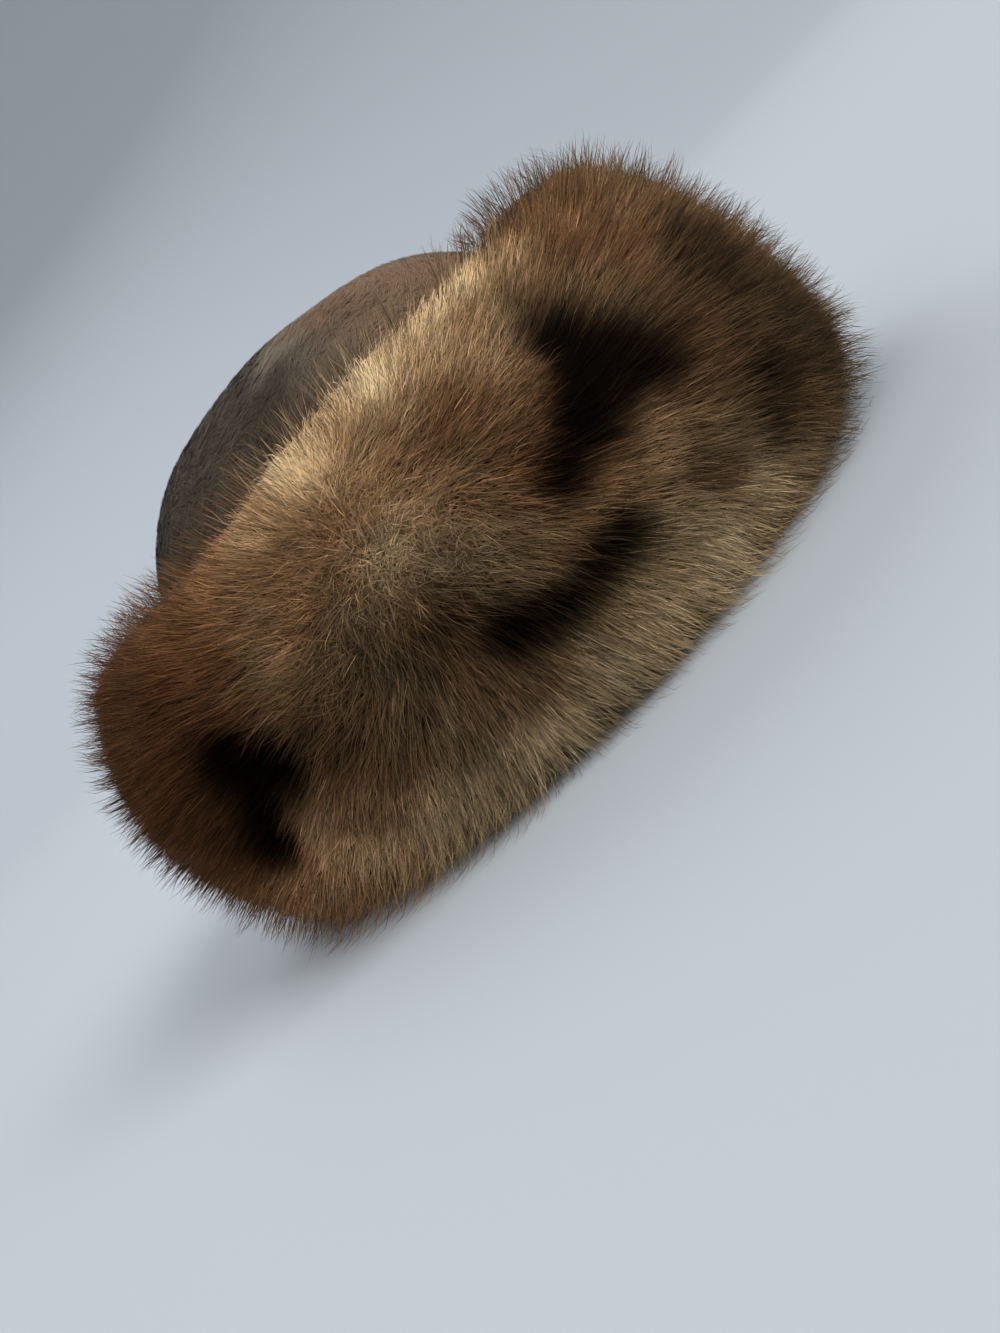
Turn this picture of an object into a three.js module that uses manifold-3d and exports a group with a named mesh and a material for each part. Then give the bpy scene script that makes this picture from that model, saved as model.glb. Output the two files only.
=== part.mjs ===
// A fur-trimmed hat: a deep round crown of long-napped felt, with a thick cuff of fur turned up
// all round it. Millimetres, +Z up. The hat rests on its rim on z = 0, its front toward +X.

import * as THREE from 'three';
import { mergeVertices } from 'three/addons/utils/BufferGeometryUtils.js';
import Module from 'manifold-3d';

const wasm = await Module();
wasm.setup();

// Crown: an oval wall that stands straight up and then closes in a dome
const CROWN_HALF_LENGTH = 98;
const CROWN_HALF_WIDTH = 82;
const CROWN_TOP = 154;
const DOME_START = 70;
const DOME_POWER = 2.15;
const FELT_THICKNESS = 2.5;
const CROWN_RIM_Z = 2.5;
// The cuff stands out further in front than behind, so the crown's centre lies behind the origin
const CROWN_CENTRE_X = -2.5;
const CROWN_SIDES = 60;
const CROWN_WALL_ROWS = 3;
const CROWN_DOME_ROWS = 9;

// Cuff: the clearance to the crown, the mesh, and the height that it is cut flat at
const CUFF_CLEARANCE = 0.5;
const CUFF_SIDES = 76;
const CUFF_ROWS = 17;
const CUFF_CREST = 127;
const FLOOR_Z = 0;

// The cuff's crest stands highest in front and lowest at the sides
const CREST_RISE_FRONT = 4;
const CREST_DIP_SIDE = 3;

// The cuff's section, going outward over the crest and down: t is the distance out from the
// crown's wall, at the back and at the front of the hat, and z is the height
const SECTION = [
  { back: -30.0, front: -30.0, z: 112 },
  { back: -18.5, front: -18.5, z: 122.5 },
  { back: -12.0, front: -12.0, z: 126 },
  { back: -4.0, front: -4.0, z: 127 },
  { back: 4.0, front: 4.0, z: 126.5 },
  { back: 14.0, front: 14.0, z: 122.5 },
  { back: 26.0, front: 25.0, z: 113 },
  { back: 35.0, front: 34.0, z: 100 },
  { back: 42.5, front: 42.0, z: 85 },
  { back: 46.5, front: 48.0, z: 68 },
  { back: 47.0, front: 51.0, z: 50 },
  { back: 45.0, front: 52.5, z: 34 },
  { back: 41.0, front: 50.5, z: 19 },
  { back: 34.0, front: 44.0, z: 7.5 },
  { back: 25.0, front: 32.0, z: 0 },
];

// The hidden side of the section, which the crown's form then cuts to its own surface
const SECTION_INSIDE = [
  { t: 8, z: 0 },
  { t: 1, z: 2.5 },
  { t: -12, z: 7 },
  { t: -16, z: 60 },
];

// Folds pressed into the fur: each runs between two places on the cuff, given by the angle round
// the hat from its front, in degrees, and the height
const FOLDS = [
  { from: 309, fromZ: 101, to: 308, toZ: 74, halfWidth: 11, depth: 9 },
  { from: 308, fromZ: 74, to: 317, toZ: 57, halfWidth: 9, depth: 6 },
  { from: 306, fromZ: 78, to: 293, toZ: 60, halfWidth: 10, depth: 9 },
  { from: 301, fromZ: 32, to: 286, toZ: 36, halfWidth: 9, depth: 8 },
  { from: 286, fromZ: 36, to: 273, toZ: 50, halfWidth: 10, depth: 7 },
  { from: 241, fromZ: 77, to: 236, toZ: 36, halfWidth: 10, depth: 8 },
  { from: 323, fromZ: 34, to: 318, toZ: 22, halfWidth: 10, depth: 4 },
  { from: 128, fromZ: 88, to: 118, toZ: 52, halfWidth: 13, depth: 5 },
  { from: 52, fromZ: 70, to: 66, toZ: 48, halfWidth: 13, depth: 5 },
];

// Soft swells between the folds
const SWELLS = [
  { at: 277, z: 84, halfWidth: 30, height: 2.5 },
  { at: 296, z: 92, halfWidth: 24, height: 2 },
  { at: 255, z: 52, halfWidth: 30, height: 2 },
  { at: 330, z: 66, halfWidth: 34, height: 2 },
  { at: 294, z: 16, halfWidth: 22, height: 1.5 },
  { at: 205, z: 70, halfWidth: 40, height: 2 },
  { at: 90, z: 80, halfWidth: 40, height: 2 },
];

// The way the fur lies: a heading on the cuff's surface in degrees, 0 toward a larger angle round
// the hat and 90 up toward the crown. It holds for one half and is mirrored for the other.
const FLOW = [
  { at: 272, z: 118, heading: 88 },
  { at: 300, z: 116, heading: 52 },
  { at: 335, z: 116, heading: 35 },
  { at: 245, z: 114, heading: 122 },
  { at: 205, z: 112, heading: 150 },
  { at: 300, z: 88, heading: 18 },
  { at: 330, z: 70, heading: 4 },
  { at: 296, z: 52, heading: -10 },
  { at: 262, z: 88, heading: 140 },
  { at: 250, z: 62, heading: -165 },
  { at: 215, z: 70, heading: 180 },
  { at: 232, z: 30, heading: -138 },
  { at: 262, z: 26, heading: -98 },
  { at: 288, z: 16, heading: -62 },
  { at: 325, z: 24, heading: -28 },
];
const FLOW_REACH = 26;

// Locks of fur that stand out of the cuff and lie along the flow
const LOCK_ROWS = 7;
const LOCKS_PER_ROW = 20;
const LOCK_FIRST_ROW_U = 0.07;
const LOCK_LAST_ROW_U = 0.88;
const LOCK_LENGTH = 46;
const LOCK_HALF_WIDTH = 13;
const LOCK_HEIGHT = 5;
const LOCK_TIP_HEIGHT = 6;
const LOCK_SINK = 3;

const TURN = 2 * Math.PI;

// A small seeded source of even random numbers
function seeded(seed) {
  let state = seed;
  return () => {
    state = (state * 1664525 + 1013904223) % 4294967296;
    return state / 4294967296;
  };
}

// How far the dome has closed in at a height: 1 on the wall, 0 at the top
function closing(z, start, top) {
  const s = THREE.MathUtils.clamp((z - start) / (top - start), 0, 1);
  return Math.pow(1 - Math.pow(s, DOME_POWER), 1 / DOME_POWER);
}

// Heights of the rows of a dome from its rim to just below its top, closer together near the top
function domeHeights(rimZ, top) {
  const heights = [];
  for (let i = 0; i < CROWN_WALL_ROWS; i += 1) {
    heights.push(THREE.MathUtils.lerp(rimZ, DOME_START, i / CROWN_WALL_ROWS));
  }
  for (let i = 0; i < CROWN_DOME_ROWS; i += 1) {
    heights.push(DOME_START + (top - DOME_START) * Math.sin((i / CROWN_DOME_ROWS) * Math.PI / 2));
  }
  return heights;
}

// One oval ring of points
function ovalRing(halfLength, halfWidth, z, sides) {
  const ring = [];
  for (let i = 0; i < sides; i += 1) {
    const angle = (i / sides) * TURN;
    ring.push(new THREE.Vector3(halfLength * Math.cos(angle), halfWidth * Math.sin(angle), z));
  }
  return ring;
}

// The rings of a dome that is grown outward by a margin, from its rim to the point at its top
function domeRings(grow, rimZ) {
  const top = CROWN_TOP + grow;
  const rings = domeHeights(rimZ, top).map((z) => {
    const share = closing(z, DOME_START, top);
    return ovalRing((CROWN_HALF_LENGTH + grow) * share, (CROWN_HALF_WIDTH + grow) * share,
      z, CROWN_SIDES);
  });
  rings.push([new THREE.Vector3(0, 0, top)]);
  return rings;
}

// A surface through rings of points, in which a ring of one point closes an end
function skin(rings, closed) {
  const positions = [];
  const starts = [];
  for (const ring of rings) {
    starts.push(positions.length / 3);
    for (const p of ring) positions.push(p.x, p.y, p.z);
  }
  const index = [];
  const last = closed ? rings.length : rings.length - 1;
  for (let r = 0; r < last; r += 1) {
    const s = (r + 1) % rings.length;
    const a = rings[r];
    const b = rings[s];
    const sides = Math.max(a.length, b.length);
    for (let i = 0; i < sides; i += 1) {
      const j = (i + 1) % sides;
      const a0 = starts[r] + (a.length === 1 ? 0 : i);
      const a1 = starts[r] + (a.length === 1 ? 0 : j);
      const b0 = starts[s] + (b.length === 1 ? 0 : i);
      const b1 = starts[s] + (b.length === 1 ? 0 : j);
      if (a0 !== a1) index.push(a0, a1, b1);
      if (b0 !== b1) index.push(a0, b1, b0);
    }
  }
  const geometry = new THREE.BufferGeometry();
  geometry.setAttribute('position', new THREE.Float32BufferAttribute(positions, 3));
  geometry.setIndex(index);
  return geometry;
}

// Six times the volume inside a surface, negative where its faces point inward
function signedVolume(geometry) {
  const p = geometry.getAttribute('position');
  const index = geometry.getIndex();
  const a = new THREE.Vector3();
  const b = new THREE.Vector3();
  const c = new THREE.Vector3();
  let sum = 0;
  for (let i = 0; i < index.count; i += 3) {
    a.fromBufferAttribute(p, index.getX(i));
    b.fromBufferAttribute(p, index.getX(i + 1));
    c.fromBufferAttribute(p, index.getX(i + 2));
    sum += a.dot(b.cross(c));
  }
  return sum;
}

// Turn a surface so that its faces point out
function facingOut(geometry) {
  if (signedVolume(geometry) < 0) {
    const order = Array.from(geometry.getIndex().array);
    for (let i = 0; i < order.length; i += 3) {
      [order[i + 1], order[i + 2]] = [order[i + 2], order[i + 1]];
    }
    geometry.setIndex(order);
  }
  return geometry;
}

function toSolid(geometry) {
  const bare = geometry.clone();
  bare.deleteAttribute('normal');
  bare.deleteAttribute('uv');
  const merged = facingOut(mergeVertices(bare, 1e-4));
  return new wasm.Manifold(new wasm.Mesh({
    numProp: 3,
    vertProperties: Float32Array.from(merged.getAttribute('position').array),
    triVerts: Uint32Array.from(merged.getIndex().array),
  }));
}

function toGeometry(solid) {
  const mesh = solid.getMesh();
  const geometry = new THREE.BufferGeometry();
  geometry.setAttribute('position', new THREE.Float32BufferAttribute(mesh.vertProperties, 3));
  geometry.setIndex(Array.from(mesh.triVerts));
  geometry.computeVertexNormals();
  return geometry;
}

// The point of the cuff at an angle round the hat, a distance out from the crown's wall and a
// height. Inside the wall it draws in toward the middle, as the dome does.
function cuffPoint(angle, t, z) {
  const c = Math.cos(angle);
  const s = Math.sin(angle);
  const nx = c / CROWN_HALF_LENGTH;
  const ny = s / CROWN_HALF_WIDTH;
  const n = Math.hypot(nx, ny);
  const share = t < 0 ? 1 + t / CROWN_HALF_LENGTH : 1;
  const out = Math.max(t, 0);
  const crest = 1 + (CREST_RISE_FRONT * c - CREST_DIP_SIDE * s * s) / CUFF_CREST;
  const raised = z * THREE.MathUtils.lerp(1, crest, THREE.MathUtils.clamp(z / CUFF_CREST, 0, 1));
  return new THREE.Vector3(
    CROWN_HALF_LENGTH * c * share + (nx / n) * out,
    CROWN_HALF_WIDTH * s * share + (ny / n) * out,
    raised,
  );
}

// The section as two smooth curves, at the back and at the front, on which u runs from 0 to 1
const backCurve = new THREE.CatmullRomCurve3(
  SECTION.map((row) => new THREE.Vector3(row.back, row.z, 0)), false, 'centripetal');
const frontCurve = new THREE.CatmullRomCurve3(
  SECTION.map((row) => new THREE.Vector3(row.front, row.z, 0)), false, 'centripetal');

function smoothPoint(angle, u) {
  const front = (1 + Math.cos(angle)) / 2;
  const at = backCurve.getPointAt(u).lerp(frontCurve.getPointAt(u), front);
  return cuffPoint(angle, at.x, at.y);
}

// The outward direction of the cuff's surface
function outward(angle, u) {
  const step = 0.01;
  const along = smoothPoint(angle + step, u).sub(smoothPoint(angle - step, u));
  const down = smoothPoint(angle, Math.min(u + step, 1)).sub(smoothPoint(angle, Math.max(u - step, 0)));
  return down.cross(along).normalize();
}

// A distance round the cuff between two angles in degrees, taken the short way
function arc(from, to) {
  const turn = ((to - from + 540) % 360) - 180;
  return THREE.MathUtils.degToRad(turn) * (CROWN_HALF_WIDTH + 50);
}

// How far the surface stands in or out of the smooth cuff: folds press in and swells stand out
function relief(degrees, z) {
  let press = 0;
  for (const fold of FOLDS) {
    const ex = arc(fold.from, fold.to);
    const ez = fold.toZ - fold.fromZ;
    const px = arc(fold.from, degrees);
    const pz = z - fold.fromZ;
    const k = THREE.MathUtils.clamp((px * ex + pz * ez) / (ex * ex + ez * ez), 0, 1);
    const away = Math.hypot(px - k * ex, pz - k * ez) / fold.halfWidth;
    press = Math.max(press, fold.depth * Math.exp(-away * away));
  }
  let swell = 0;
  for (const row of SWELLS) {
    const away = Math.hypot(arc(row.at, degrees), z - row.z) / row.halfWidth;
    swell += row.height * Math.exp(-away * away);
  }
  return swell - press;
}

// A point on the finished surface of the cuff, raised above it by a height
function surfacePoint(angle, u, height) {
  const p = smoothPoint(angle, u);
  const degrees = THREE.MathUtils.radToDeg(angle);
  const fade = THREE.MathUtils.smoothstep(u, 0.03, 0.15) * (1 - THREE.MathUtils.smoothstep(u, 0.9, 1));
  return p.addScaledVector(outward(angle, u), relief(degrees, p.z) * fade + height);
}

// The heading of the fur at a place, from the nearest rows of the flow table
function heading(degrees, z) {
  const turned = ((degrees % 360) + 360) % 360;
  const mirrored = turned < 180;
  const at = mirrored ? 360 - turned : turned;
  let x = 0;
  let y = 0;
  for (const row of FLOW) {
    const away = Math.hypot(arc(row.at, at), z - row.z) / FLOW_REACH;
    const weight = 1 / Math.pow(0.15 + away * away, 2);
    const angle = THREE.MathUtils.degToRad(row.heading);
    x += weight * Math.cos(angle);
    y += weight * Math.sin(angle);
  }
  return Math.atan2(y, mirrored ? -x : x);
}

// One lock: a long pointed form that starts inside the cuff, swells and ends in a raised tip
function lock(angle, u, size) {
  const curveLength = backCurve.getLength();
  const radius = CROWN_HALF_WIDTH + 50;
  const z = smoothPoint(angle, u).z;
  const way = heading(THREE.MathUtils.radToDeg(angle), z);
  const length = LOCK_LENGTH * size;
  const along = (share, side) => {
    const across = side * LOCK_HALF_WIDTH * size;
    const dx = Math.cos(way) * length * share - Math.sin(way) * across;
    const dz = Math.sin(way) * length * share + Math.cos(way) * across;
    return [angle + dx / radius, THREE.MathUtils.clamp(u - dz / curveLength, 0.02, 0.985)];
  };
  const root = [surfacePoint(...along(-0.1, 0), -LOCK_SINK)];
  const belly = [
    surfacePoint(...along(0.46, -1), -LOCK_SINK * 0.3),
    surfacePoint(...along(0.5, 0), LOCK_HEIGHT * size),
    surfacePoint(...along(0.46, 1), -LOCK_SINK * 0.3),
    surfacePoint(...along(0.5, 0), -LOCK_SINK),
  ];
  const tip = [surfacePoint(...along(1, 0), LOCK_TIP_HEIGHT * size)];
  return skin([root, belly, tip], false);
}

const model = new THREE.Group();
model.position.x = CROWN_CENTRE_X;

// Crown: one felt wall, open at the rim
const outerWall = domeRings(0, CROWN_RIM_Z);
const innerWall = domeRings(-FELT_THICKNESS, CROWN_RIM_Z);
const crownGeometry = toGeometry(toSolid(skin([...outerWall.reverse(), ...innerWall], false)));
const crown = new THREE.Mesh(crownGeometry, new THREE.MeshStandardMaterial({
  color: 0x6d6255,
  roughness: 0.95,
  metalness: 0,
}));
crown.name = 'crown';
model.add(crown);

// Cuff: a closed padded ring round the crown
const cuffRings = [];
for (let row = 0; row < CUFF_ROWS; row += 1) {
  const u = row / (CUFF_ROWS - 1);
  const ring = [];
  for (let i = 0; i < CUFF_SIDES; i += 1) ring.push(surfacePoint((i / CUFF_SIDES) * TURN, u, 0));
  cuffRings.push(ring);
}
for (const row of SECTION_INSIDE) {
  const ring = [];
  for (let i = 0; i < CUFF_SIDES; i += 1) ring.push(cuffPoint((i / CUFF_SIDES) * TURN, row.t, row.z));
  cuffRings.push(ring);
}
let cuffSolid = toSolid(skin(cuffRings, true));

// Locks of fur, fused to the ring in rows that are set off from each other
const random = seeded(20);
for (let row = 0; row < LOCK_ROWS; row += 1) {
  const u = THREE.MathUtils.lerp(LOCK_FIRST_ROW_U, LOCK_LAST_ROW_U, row / (LOCK_ROWS - 1));
  for (let i = 0; i < LOCKS_PER_ROW; i += 1) {
    const shift = (row % 2) * 0.5 + (random() - 0.5) * 0.45;
    const angle = ((i + shift) / LOCKS_PER_ROW) * TURN;
    const raise = u + (random() - 0.5) * 0.05;
    const size = 0.85 + random() * 0.35;
    cuffSolid = cuffSolid.add(toSolid(lock(angle, raise, size)));
  }
}

// The crown's form, a little grown, shapes the inside of the cuff
const plug = toSolid(skin([
  [new THREE.Vector3(0, 0, -20)],
  ovalRing(CROWN_HALF_LENGTH + CUFF_CLEARANCE, CROWN_HALF_WIDTH + CUFF_CLEARANCE, -20, CROWN_SIDES),
  ...domeRings(CUFF_CLEARANCE, CROWN_RIM_Z),
], false));
cuffSolid = cuffSolid.subtract(plug);

// What would reach below the rim is cut flat, so the hat rests on its fur
const below = new THREE.BoxGeometry(600, 600, 100);
below.translate(0, 0, FLOOR_Z - 50);
cuffSolid = cuffSolid.subtract(toSolid(below));

const cuff = new THREE.Mesh(toGeometry(cuffSolid), new THREE.MeshStandardMaterial({
  color: 0x50381f,
  roughness: 0.85,
  metalness: 0,
}));
cuff.name = 'fur_cuff';
model.add(cuff);

export default model;
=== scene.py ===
"""Dress the fur-trimmed hat: a long-napped felt crown in a deep cuff of fur, on a pale floor."""

import math

import bmesh
import bpy
import numpy as np
from bpy.props import FloatProperty, FloatVectorProperty, IntProperty, PointerProperty
from mathutils import Matrix, Vector


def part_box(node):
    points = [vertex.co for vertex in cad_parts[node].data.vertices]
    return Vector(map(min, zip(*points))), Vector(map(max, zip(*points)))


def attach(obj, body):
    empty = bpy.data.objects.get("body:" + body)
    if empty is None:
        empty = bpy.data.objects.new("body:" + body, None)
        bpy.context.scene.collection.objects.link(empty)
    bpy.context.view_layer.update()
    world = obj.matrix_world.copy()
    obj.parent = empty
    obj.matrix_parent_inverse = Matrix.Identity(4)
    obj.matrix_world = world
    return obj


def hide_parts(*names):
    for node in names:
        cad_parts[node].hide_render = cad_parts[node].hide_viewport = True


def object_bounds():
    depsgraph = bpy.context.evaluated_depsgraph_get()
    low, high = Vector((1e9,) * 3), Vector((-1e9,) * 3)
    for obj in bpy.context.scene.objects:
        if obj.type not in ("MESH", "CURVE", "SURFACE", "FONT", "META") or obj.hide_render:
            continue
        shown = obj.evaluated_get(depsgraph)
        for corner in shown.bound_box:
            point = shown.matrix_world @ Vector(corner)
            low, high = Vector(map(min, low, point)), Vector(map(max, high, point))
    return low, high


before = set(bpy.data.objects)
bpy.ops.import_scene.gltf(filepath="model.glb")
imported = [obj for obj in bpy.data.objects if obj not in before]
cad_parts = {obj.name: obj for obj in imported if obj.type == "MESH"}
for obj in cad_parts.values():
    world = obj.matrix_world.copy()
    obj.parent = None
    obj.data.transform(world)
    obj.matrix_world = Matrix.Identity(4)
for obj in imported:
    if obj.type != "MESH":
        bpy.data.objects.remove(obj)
cad_box = [list(corner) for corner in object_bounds()]

bl_info = {
    "name": "Fur-trimmed hat",
    "version": (1, 0, 0),
    "blender": (4, 5, 0),
    "location": "3D View > Sidebar > Hat",
    "description": "Makes the felt crown and the fur cuff of a winter hat",
    "category": "Add Mesh",
}

# Millimetres in a metre
MM = 1000


def rows(columns, *values):
    """A table: each row has a value for each of the named columns."""
    return [dict(zip(columns.split(), row)) for row in values]


def qualities(*lines):
    """Things side by side: each line is the name of a quality and its value for each thing."""
    names, *values = zip(*lines)
    return [dict(zip(names, column)) for column in values]


# The form, in millimetres, in the frame of the hat: front +X, wearer's left +Y, up +Z
CROWN_CENTRE_X = -2.5
CROWN_RIM = 2.5
DOME_START = 70.0
DOME_POWER = 2.3
# The felt lies under its nap, and its dome is gently lumpy from a little above the wall
NAP_DEPTH = 1.0
DOME_LUMPS = 0.9
LUMPS_FROM, LUMPS_TO = 70.0, 120.0
CUFF_CREST = 127.0
CREST_RISE_FRONT = 4.0
CREST_DIP_SIDE = 3.0
CUFF_LUMPS = 0.9
# Heights that the fur, the roll and the crown's visible nap stay above
FLOOR_GAP = 0.35
ROLL_FLOOR_GAP = 1.0
NAP_FROM = 112.0

# The cuff's section, going outward over the crest, down and in under the rim: the distance out
# from the crown's wall at the back and at the front, and the height
SECTION = rows(
    "back front z",
    (-30.0, -30.0, 112.0),
    (-18.5, -18.5, 122.5),
    (-12.0, -12.0, 126.0),
    (-4.0, -4.0, 127.0),
    (4.0, 4.0, 126.5),
    (14.0, 14.0, 122.5),
    (26.0, 25.0, 113.0),
    (35.0, 34.0, 100.0),
    (42.5, 42.0, 85.0),
    (46.5, 48.0, 68.0),
    (47.0, 51.0, 50.0),
    (45.0, 52.5, 34.0),
    (41.0, 50.5, 19.0),
    (34.0, 44.0, 7.5),
    (25.0, 32.0, 0.5),
    (15.0, 18.0, 0.0),
    (6.0, 6.0, 1.0),
)

# Folds pressed into the fur, each between two places: the angle round the hat from its front,
# in degrees, and the height. A fold darkens the fur's tone a little past its sides, partly as the
# fur's darker base and partly as painted shade.
FOLDS = rows(
    "from from_z to to_z half_width depth",
    (308, 87, 306, 76, 9, 10),
    (308, 84, 310, 76, 10, 9),
    (309, 78, 312, 66, 8, 7),
    (310, 68, 303, 65, 6, 7),
    (305, 75, 301, 68, 9, 10),
    (300, 67, 294, 62, 7, 7),
    (294, 38, 284, 37, 7, 6.5),
    (284, 37, 277, 42, 7, 7),
    (237, 70, 243, 61, 9, 10),
    (238, 60, 231, 41, 8, 9),
    (323, 34, 318, 22, 10, 4),
    (128, 88, 118, 52, 13, 5),
    (52, 70, 66, 48, 13, 5),
)

# Soft swells between the folds
SWELLS = rows(
    "at z half_width height",
    (277, 84, 30, 2.5),
    (296, 92, 24, 2.0),
    (255, 52, 30, 2.0),
    (330, 66, 34, 2.0),
    (342, 102, 26, 4.0),
    (18, 102, 26, 4.0),
    (334, 127, 24, -6.0),
    (279, 128, 34, 3.0),
    (26, 127, 24, -6.0),
    (294, 16, 22, 1.5),
    (205, 70, 40, 2.0),
    (90, 80, 40, 2.0),
)

# The way the fur lies: 0 toward a larger angle round the hat, 90 up toward the crown. It holds
# for the half at the wearer's right and is mirrored for the other.
FLOW = rows(
    "at z heading",
    (350, 120, 10),
    (350, 60, -10),
    (340, 20, -20),
    (325, 125, 25),
    (325, 90, -5),
    (320, 50, -25),
    (315, 15, -35),
    (300, 127, 50),
    (300, 110, 10),
    (300, 80, -15),
    (300, 45, -35),
    (300, 15, -55),
    (280, 125, 80),
    (280, 100, -10),
    (280, 70, -45),
    (280, 40, -75),
    (280, 10, -70),
    (265, 120, 115),
    (262, 98, 140),
    (265, 65, -110),
    (265, 30, -105),
    (250, 117, 130),
    (250, 88, 170),
    (252, 60, -165),
    (250, 30, -135),
    (232, 112, 160),
    (230, 78, -170),
    (232, 40, -160),
    (238, 12, -135),
    (215, 105, 170),
    (215, 50, -170),
)
FLOW_REACH = 18.0
# The height where fur that meets in front and behind parts upward and downward
MEETING_HEIGHT = 112.0
MEETING_SPREAD = 12.0

# Places where the fur is tangled and lies no one way
TANGLES = rows(
    "at z half_width",
    (269, 86, 24),
    (259, 70, 20),
    (278, 74, 14),
    (92, 84, 22),
)

# The coat's colours, charted: tone runs from dark to light, warmth from khaki to rust
COAT = rows(
    "at z tone warmth",
    (272, 118, 0.97, 0.30),
    (286, 119, 0.92, 0.25),
    (302, 119, 0.95, 0.20),
    (310, 122, 0.88, 0.25),
    (315, 116, 0.60, 0.45),
    (330, 118, 0.37, 0.78),
    (260, 115, 0.72, 0.60),
    (250, 110, 0.52, 0.68),
    (238, 111, 0.39, 0.85),
    (244, 93, 0.33, 0.85),
    (326, 98, 0.38, 0.80),
    (345, 84, 0.35, 0.60),
    (318, 101, 0.37, 0.75),
    (311, 106, 0.44, 0.60),
    (317, 62, 0.25, 0.65),
    (333, 72, 0.17, 0.50),
    (326, 44, 0.21, 0.55),
    (336, 34, 0.19, 0.50),
    (318, 32, 0.33, 0.55),
    (308, 32, 0.29, 0.50),
    (303, 52, 0.47, 0.62),
    (303, 109, 0.55, 0.50),
    (289, 92, 0.37, 0.75),
    (284, 106, 0.54, 0.60),
    (279, 96, 0.60, 0.60),
    (286, 76, 0.44, 0.65),
    (292, 72, 0.33, 0.72),
    (268, 98, 0.43, 0.62),
    (258, 96, 0.46, 0.68),
    (267, 87, 0.42, 0.60),
    (256, 86, 0.45, 0.62),
    (272, 80, 0.59, 0.32),
    (278, 70, 0.44, 0.35),
    (270, 67, 0.40, 0.50),
    (262, 76, 0.40, 0.50),
    (264, 68, 0.27, 0.50),
    (268, 58, 0.25, 0.50),
    (275, 57, 0.23, 0.55),
    (288, 53, 0.42, 0.55),
    (253, 56, 0.22, 0.60),
    (260, 45, 0.33, 0.50),
    (248, 36, 0.47, 0.60),
    (266, 34, 0.42, 0.50),
    (274, 28, 0.39, 0.50),
    (286, 24, 0.62, 0.32),
    (300, 24, 0.59, 0.28),
    # Low on the rim, in these rows, the tones are raised as painted light, standing in for light
    # bounced up onto fur that faces the floor
    (314, 14, 0.72, 0.30),
    (302, 8, 0.98, 0.15),
    (288, 6, 0.98, 0.20),
    (270, 10, 0.94, 0.22),
    (254, 10, 0.98, 0.30),
    (243, 17, 0.98, 0.50),
    (233, 20, 0.76, 0.72),
    (226, 60, 0.23, 0.95),
    (232, 88, 0.26, 0.95),
    (218, 96, 0.28, 0.90),
    (195, 70, 0.28, 0.80),
    (165, 112, 0.50, 0.60),
    (150, 40, 0.30, 0.70),
    (120, 96, 0.42, 0.55),
    (92, 119, 0.76, 0.45),
    (96, 60, 0.44, 0.45),
    (70, 20, 0.50, 0.25),
    (50, 92, 0.34, 0.60),
    (30, 119, 0.56, 0.50),
    (15, 50, 0.28, 0.50),
    (0, 90, 0.32, 0.50),
    (0, 14, 0.50, 0.30),
    (180, 14, 0.45, 0.60),
)
COAT_REACH = 16.0

# The crown's colours by place on its plan, in millimetres: warmth runs from grey to rust
FELT_COAT = rows(
    "x y tone warmth",
    (-66, -20, 0.32, 0.45),
    (-40, -40, 0.33, 0.50),
    (-22, -40, 0.34, 0.60),
    (-10, -36, 0.31, 0.45),
    (-2, -58, 0.25, 0.45),
    (-14, -56, 0.30, 0.45),
    (4, -33, 0.52, 0.30),
    (13, -52, 0.40, 0.35),
    (24, -40, 0.47, 1.00),
    (40, -34, 0.50, 1.00),
    (56, -34, 0.50, 1.00),
    (34, -12, 0.48, 0.80),
    (60, -4, 0.44, 0.70),
    (-4, 2, 0.38, 0.35),
    (-30, 20, 0.40, 0.35),
    (18, 34, 0.46, 0.70),
    (-56, 22, 0.37, 0.50),
    (52, 30, 0.44, 0.45),
)
FELT_REACH = 20.0

# The kinds of hair on the cuff, by their qualities. stations are shares of a hair's length, with
# its widths and the fading of its tone there, darker toward the root partly as the hair's own colour
# and partly as painted shade under the coat. Its root, its tip and what the tip drops at the
# crest and the rim are heights over the cuff's section. clumps are their size, pull and salt.
WOOL, GUARD, SPIKES = qualities(
    ("stations", (0.0, 0.5, 1.0), (0.0, 0.5, 1.0), (0.0, 0.35, 0.7, 1.0)),
    ("widths", (0.0, 1.0, 0.0), (0.0, 0.6, 0.0), (0.0, 0.7, 0.5, 0.0)),
    ("root", -6.0, -6.0, -6.0),
    ("tip", -1.5, 1.5, 7.0),
    ("tip_spread", 5.0, 5.5, 8.0),
    ("bend", 1.7, 1.4, 1.2),
    ("curl", 0.2, 0.08, 0.06),
    ("swing", 0.3, 0.14, 0.1),
    (
        "clumps",
        ((9.0, 0.1, 101), (3.6, 0.08, 201)),
        ((9.0, 0.1, 101), (4.6, 0.16, 301)),
        ((7.0, 0.5, 401),),
    ),
    ("tone_spread", 0.06, 0.11, 0.05),
    ("fade", (0.66, 0.92, 1.02), (0.62, 0.94, 1.04), (0.4, 0.75, 0.95, 1.1)),
    ("even_tone", 0.0, 0.34, 0.5),
    ("even_on_crest", 0.0, -0.4, 1.0),
    # shaded: the share of a fold's painted shade that each hair takes, as a range
    ("shaded", (0.9, 1.1), (0.5, 1.1), (0.4, 1.0)),
    ("on_crest", 1.7, 0.4, 0.5),
    ("short_on_crest", 0.3, 0.0, 0.1),
    ("crest_drop", 8.0, 8.0, 4.0),
    ("rim_drop", 4.5, 2.5, 0.0),
    ("rim_reach", 0.0, 5.0, 11.0),
    ("glints", 0.0, 0.03, 0.0),
)
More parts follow.
